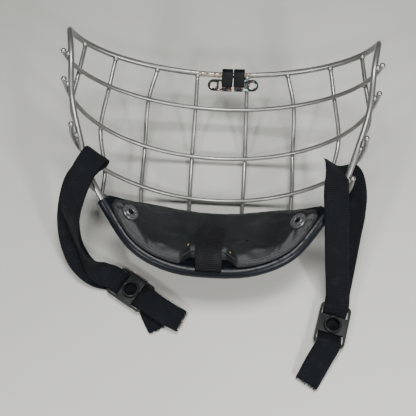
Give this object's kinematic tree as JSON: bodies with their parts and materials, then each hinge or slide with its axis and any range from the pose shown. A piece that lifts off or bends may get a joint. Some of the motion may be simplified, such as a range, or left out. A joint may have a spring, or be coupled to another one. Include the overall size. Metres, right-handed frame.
{
  "type": "hockey face mask",
  "caption": "Wire cage face mask with a chin cup holding a snapped-in pad, swivelling helmet clips on the brow wire and webbing straps with snap buckles.",
  "frame": {"origin": "middle of the bottom of the whole piece's box, where it lies on the uprights and the strap ends", "axes": "+X to the right seen from inside, +Y to the brow, +Z away from the surface, towards the wearer"},
  "size_m": [0.2126, 0.2252, 0.096],
  "materials": {
    "wire": "bright coated wire, lightly worn",
    "clip_steel": "worn plated strip",
    "clip_vinyl": "dipped black vinyl",
    "shell": "smooth black moulding",
    "pad_skin": "soft creased vinyl",
    "foam": "open foam",
    "snap": "dull nickel",
    "webbing": "ribbed woven nylon",
    "buckle": "moulded, satin"
  },
  "bodies": {
    "cage": {"frame_wire": "wire", "cross_wire_1": "wire", "cross_wire_2": "wire", "cross_wire_3": "wire", "cross_wire_4": "wire", "upright_wire_1": "wire", "upright_wire_2": "wire", "upright_wire_3": "wire", "upright_wire_4": "wire", "upright_wire_5": "wire", "upright_wire_6": "wire", "upright_wire_7": "wire", "upright_wire_8": "wire", "chin_shell": "shell", "chin_pad_cover": "pad_skin", "chin_pad_foam": "foam", "left_pad_snap_ring": "snap", "left_pad_snap_post": "snap", "right_pad_snap_ring": "snap", "right_pad_snap_post": "snap", "chin_tab": "webbing"},
    "left_clip": {"left_helmet_clip": "clip_steel", "left_clip_skin": "clip_vinyl"},
    "right_clip": {"right_helmet_clip": "clip_steel", "right_clip_skin": "clip_vinyl"},
    "left_strap_assembly": {"left_strap": "webbing", "left_buckle": "buckle", "left_buckle_socket": "snap"},
    "right_strap_assembly": {"right_strap": "webbing", "right_buckle": "buckle", "right_buckle_socket": "snap"}
  },
  "joints": [
    {"name": "left_clip_pivot", "type": "hinge", "parent": "cage", "child": "left_clip", "pos_m": [0.00484, 0.10788, 0.03488], "axis": [0.9997, -0.0017, 0.0239], "continuous": true},
    {"name": "right_clip_pivot", "type": "hinge", "parent": "cage", "child": "right_clip", "pos_m": [0.01363, 0.10784, 0.03533], "axis": [-0.997, 0.0056, -0.0769], "range_deg": [0, 150]},
    {"name": "left_strap_swing", "type": "hinge", "parent": "cage", "child": "left_strap_assembly", "pos_m": [-0.08313, 0.01345, 0.06202], "axis": [1, 0, 0], "range_deg": [-9, 0]},
    {"name": "right_strap_swing", "type": "hinge", "parent": "cage", "child": "right_strap_assembly", "pos_m": [0.08488, 0.01345, 0.06202], "axis": [1, 0, 0], "range_deg": [-9, 0]}
  ]
}
